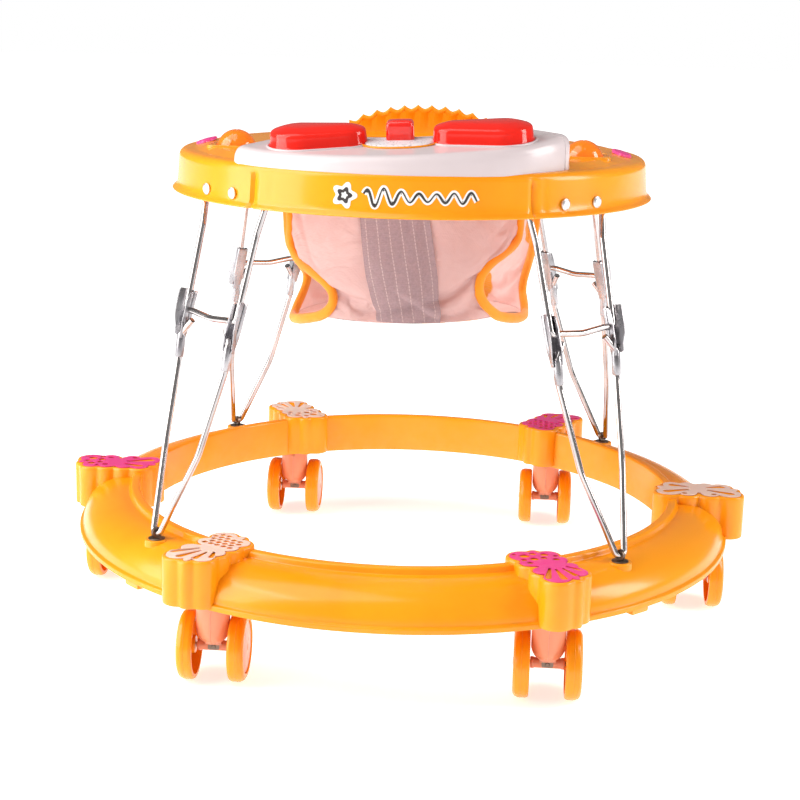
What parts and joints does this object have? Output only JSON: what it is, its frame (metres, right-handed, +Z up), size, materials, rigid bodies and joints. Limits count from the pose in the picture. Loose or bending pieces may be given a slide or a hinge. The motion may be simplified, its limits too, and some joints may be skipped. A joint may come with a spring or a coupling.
{
  "type": "baby walker",
  "caption": "Round folding baby walker: a ring on twin-wheel casters, wire legs with knee hinges, and a play tray that holds a cloth seat.",
  "frame": {"origin": "floor, under the middle of the ring", "axes": "+Z up, -Y the front with the play console, +X the walker's side seen on the right from the front"},
  "size_m": [0.611, 0.582, 0.4465],
  "materials": {
    "yellow_plastic": "glossy injection moulding",
    "cream_plastic": "glossy, translucent",
    "pink_plastic": "glossy",
    "peach_plastic": "translucent, glossy",
    "white_plastic": "glossy",
    "red_plastic": "glossy",
    "amber_plastic": "translucent, glossy",
    "wire": "bright plated wire",
    "clip_steel": "bright stamped steel",
    "dark_steel": "dull plated steel",
    "rivet_steel": "bright",
    "seat_cloth": "thin woven cloth, pale pink",
    "webbing": "grey woven webbing with stitched lines",
    "piping": "folded orange bias tape",
    "sticker": "printed vinyl"
  },
  "bodies": {
    "base": {"base_ring": "yellow_plastic", "butterfly_plates_cream": "cream_plastic", "butterfly_plates_pink": "pink_plastic", "eye_bolts": "dark_steel", "eye_washers": "dark_steel", "eye_bolt_nuts": "dark_steel"},
    "leg_1_lower": {"leg_1_lower_wire": "wire", "leg_1_clips": "clip_steel"},
    "leg_1_upper": {"leg_1_upper_wire": "wire"},
    "leg_2_lower": {"leg_2_lower_wire": "wire", "leg_2_clips": "clip_steel"},
    "leg_2_upper": {"leg_2_upper_wire": "wire"},
    "leg_3_lower": {"leg_3_lower_wire": "wire", "leg_3_clips": "clip_steel"},
    "leg_3_upper": {"leg_3_upper_wire": "wire"},
    "leg_4_lower": {"leg_4_lower_wire": "wire", "leg_4_clips": "clip_steel"},
    "leg_4_upper": {"leg_4_upper_wire": "wire"},
    "tray": {"leg_brackets": "clip_steel", "rivets": "rivet_steel", "tray_shell": "yellow_plastic", "console": "white_plastic", "sound_box": "white_plastic", "play_ball_pins": "wire", "side_badges": "pink_plastic", "front_sticker": "sticker", "seat_front": "seat_cloth", "seat_back": "seat_cloth", "seat_bottom": "seat_cloth", "seat_strap": "webbing", "leg_hole_piping": "piping"},
    "caster_1": {"caster_1_hub": "peach_plastic", "caster_1_axle": "wire"},
    "wheel_1_left": {"caster_1_wheel_left": "yellow_plastic"},
    "wheel_1_right": {"caster_1_wheel_right": "yellow_plastic"},
    "caster_2": {"caster_2_hub": "peach_plastic", "caster_2_axle": "wire"},
    "wheel_2_left": {"caster_2_wheel_left": "yellow_plastic"},
    "wheel_2_right": {"caster_2_wheel_right": "yellow_plastic"},
    "caster_3": {"caster_3_hub": "peach_plastic", "caster_3_axle": "wire"},
    "wheel_3_left": {"caster_3_wheel_left": "yellow_plastic"},
    "wheel_3_right": {"caster_3_wheel_right": "yellow_plastic"},
    "caster_4": {"caster_4_hub": "peach_plastic", "caster_4_axle": "wire"},
    "wheel_4_left": {"caster_4_wheel_left": "yellow_plastic"},
    "wheel_4_right": {"caster_4_wheel_right": "yellow_plastic"},
    "caster_5": {"caster_5_hub": "peach_plastic", "caster_5_axle": "wire"},
    "wheel_5_left": {"caster_5_wheel_left": "yellow_plastic"},
    "wheel_5_right": {"caster_5_wheel_right": "yellow_plastic"},
    "caster_6": {"caster_6_hub": "peach_plastic", "caster_6_axle": "wire"},
    "wheel_6_left": {"caster_6_wheel_left": "yellow_plastic"},
    "wheel_6_right": {"caster_6_wheel_right": "yellow_plastic"},
    "left_drum": {"drum_button_left": "red_plastic"},
    "right_drum": {"drum_button_right": "red_plastic"},
    "middle_button": {"red_button": "red_plastic"},
    "ball_left": {"play_ball_left": "amber_plastic"},
    "ball_right": {"play_ball_right": "amber_plastic"}
  },
  "joints": [
    {"name": "leg_1_fold", "type": "hinge", "parent": "base", "child": "leg_1_lower", "pos_m": [-0.18689, -0.18689, 0.108], "axis": [-0.7071, 0.7071, 0], "range_deg": [0, 62], "deforming": ["seat_front", "seat_back", "seat_bottom", "seat_strap", "leg_hole_piping"]},
    {"name": "leg_1_knee", "type": "hinge", "parent": "leg_1_lower", "child": "leg_1_upper", "pos_m": [-0.14941, -0.14941, 0.2807], "axis": [-0.7071, 0.7071, 0], "range_deg": [-142, 0]},
    {"name": "leg_2_fold", "type": "hinge", "parent": "base", "child": "leg_2_lower", "pos_m": [0.18689, -0.18689, 0.108], "axis": [-0.7071, -0.7071, 0], "range_deg": [0, 62]},
    {"name": "leg_2_knee", "type": "hinge", "parent": "leg_2_lower", "child": "leg_2_upper", "pos_m": [0.14941, -0.14941, 0.2807], "axis": [-0.7071, -0.7071, 0], "range_deg": [-142, 0]},
    {"name": "leg_3_fold", "type": "hinge", "parent": "base", "child": "leg_3_lower", "pos_m": [0.18689, 0.18689, 0.108], "axis": [0.7071, -0.7071, 0], "range_deg": [0, 62]},
    {"name": "leg_3_knee", "type": "hinge", "parent": "leg_3_lower", "child": "leg_3_upper", "pos_m": [0.14941, 0.14941, 0.2807], "axis": [0.7071, -0.7071, 0], "range_deg": [-142, 0]},
    {"name": "leg_4_fold", "type": "hinge", "parent": "base", "child": "leg_4_lower", "pos_m": [-0.18689, 0.18689, 0.108], "axis": [0.7071, 0.7071, 0], "range_deg": [0, 62]},
    {"name": "leg_4_knee", "type": "hinge", "parent": "leg_4_lower", "child": "leg_4_upper", "pos_m": [-0.14941, 0.14941, 0.2807], "axis": [0.7071, 0.7071, 0], "range_deg": [-142, 0]},
    {"name": "tray_hinge", "type": "hinge", "parent": "leg_1_upper", "child": "tray", "pos_m": [-0.1294, -0.1294, 0.388], "axis": [-0.7071, 0.7071, 0], "range_deg": [0, 80]},
    {"name": "caster_1_swivel", "type": "hinge", "parent": "base", "child": "caster_1", "pos_m": [-0.1325, -0.2295, 0.073], "axis": [0, 0, 1], "continuous": true},
    {"name": "wheel_1_left_spin", "type": "hinge", "parent": "caster_1", "child": "wheel_1_left", "pos_m": [-0.153, -0.2235, 0.028], "axis": [1, 0, 0], "continuous": true},
    {"name": "wheel_1_right_spin", "type": "hinge", "parent": "caster_1", "child": "wheel_1_right", "pos_m": [-0.112, -0.2235, 0.028], "axis": [1, 0, 0], "continuous": true},
    {"name": "caster_2_swivel", "type": "hinge", "parent": "base", "child": "caster_2", "pos_m": [0.1325, -0.2295, 0.073], "axis": [0, 0, 1], "continuous": true},
    {"name": "wheel_2_left_spin", "type": "hinge", "parent": "caster_2", "child": "wheel_2_left", "pos_m": [0.112, -0.2235, 0.028], "axis": [1, 0, 0], "continuous": true},
    {"name": "wheel_2_right_spin", "type": "hinge", "parent": "caster_2", "child": "wheel_2_right", "pos_m": [0.153, -0.2235, 0.028], "axis": [1, 0, 0], "continuous": true},
    {"name": "caster_3_swivel", "type": "hinge", "parent": "base", "child": "caster_3", "pos_m": [0.265, 0, 0.073], "axis": [0, 0, 1], "continuous": true},
    {"name": "wheel_3_left_spin", "type": "hinge", "parent": "caster_3", "child": "wheel_3_left", "pos_m": [0.2445, 0.006, 0.028], "axis": [1, 0, 0], "continuous": true},
    {"name": "wheel_3_right_spin", "type": "hinge", "parent": "caster_3", "child": "wheel_3_right", "pos_m": [0.2855, 0.006, 0.028], "axis": [1, 0, 0], "continuous": true},
    {"name": "caster_4_swivel", "type": "hinge", "parent": "base", "child": "caster_4", "pos_m": [0.1325, 0.2295, 0.073], "axis": [0, 0, 1], "continuous": true},
    {"name": "wheel_4_left_spin", "type": "hinge", "parent": "caster_4", "child": "wheel_4_left", "pos_m": [0.112, 0.2355, 0.028], "axis": [1, 0, 0], "continuous": true},
    {"name": "wheel_4_right_spin", "type": "hinge", "parent": "caster_4", "child": "wheel_4_right", "pos_m": [0.153, 0.2355, 0.028], "axis": [1, 0, 0], "continuous": true},
    {"name": "caster_5_swivel", "type": "hinge", "parent": "base", "child": "caster_5", "pos_m": [-0.1325, 0.2295, 0.073], "axis": [0, 0, 1], "continuous": true},
    {"name": "wheel_5_left_spin", "type": "hinge", "parent": "caster_5", "child": "wheel_5_left", "pos_m": [-0.153, 0.2355, 0.028], "axis": [1, 0, 0], "continuous": true},
    {"name": "wheel_5_right_spin", "type": "hinge", "parent": "caster_5", "child": "wheel_5_right", "pos_m": [-0.112, 0.2355, 0.028], "axis": [1, 0, 0], "continuous": true},
    {"name": "caster_6_swivel", "type": "hinge", "parent": "base", "child": "caster_6", "pos_m": [-0.265, 0, 0.073], "axis": [0, 0, 1], "continuous": true},
    {"name": "wheel_6_left_spin", "type": "hinge", "parent": "caster_6", "child": "wheel_6_left", "pos_m": [-0.2855, 0.006, 0.028], "axis": [1, 0, 0], "continuous": true},
    {"name": "wheel_6_right_spin", "type": "hinge", "parent": "caster_6", "child": "wheel_6_right", "pos_m": [-0.2445, 0.006, 0.028], "axis": [1, 0, 0], "continuous": true},
    {"name": "left_drum_press", "type": "slide", "parent": "tray", "child": "left_drum", "axis": [0.0519, 0.1219, -0.9912], "range_m": [0, 0.0025], "stiffness_N_per_m": 600, "springref_m": -0.002},
    {"name": "right_drum_press", "type": "slide", "parent": "tray", "child": "right_drum", "axis": [0.0519, 0.1219, -0.9912], "range_m": [0, 0.0025], "stiffness_N_per_m": 600, "springref_m": -0.002},
    {"name": "middle_button_press", "type": "slide", "parent": "tray", "child": "middle_button", "axis": [0.0519, 0.1219, -0.9912], "range_m": [0, 0.0025], "stiffness_N_per_m": 300, "springref_m": -0.002},
    {"name": "ball_left_spin", "type": "hinge", "parent": "tray", "child": "ball_left", "pos_m": [-0.146, -0.05, 0.406], "axis": [1, 0, 0], "continuous": true},
    {"name": "ball_right_spin", "type": "hinge", "parent": "tray", "child": "ball_right", "pos_m": [0.146, -0.05, 0.406], "axis": [1, 0, 0], "continuous": true}
  ],
  "couplings": [
    {"joint": "leg_1_knee", "follows": "leg_1_fold", "ratio": -2.28},
    {"joint": "leg_2_fold", "follows": "leg_1_fold", "ratio": 1},
    {"joint": "leg_2_knee", "follows": "leg_1_fold", "ratio": -2.28},
    {"joint": "leg_3_fold", "follows": "leg_1_fold", "ratio": 1},
    {"joint": "leg_3_knee", "follows": "leg_1_fold", "ratio": -2.28},
    {"joint": "leg_4_fold", "follows": "leg_1_fold", "ratio": 1},
    {"joint": "leg_4_knee", "follows": "leg_1_fold", "ratio": -2.28},
    {"joint": "tray_hinge", "follows": "leg_1_fold", "ratio": 1.28}
  ]
}
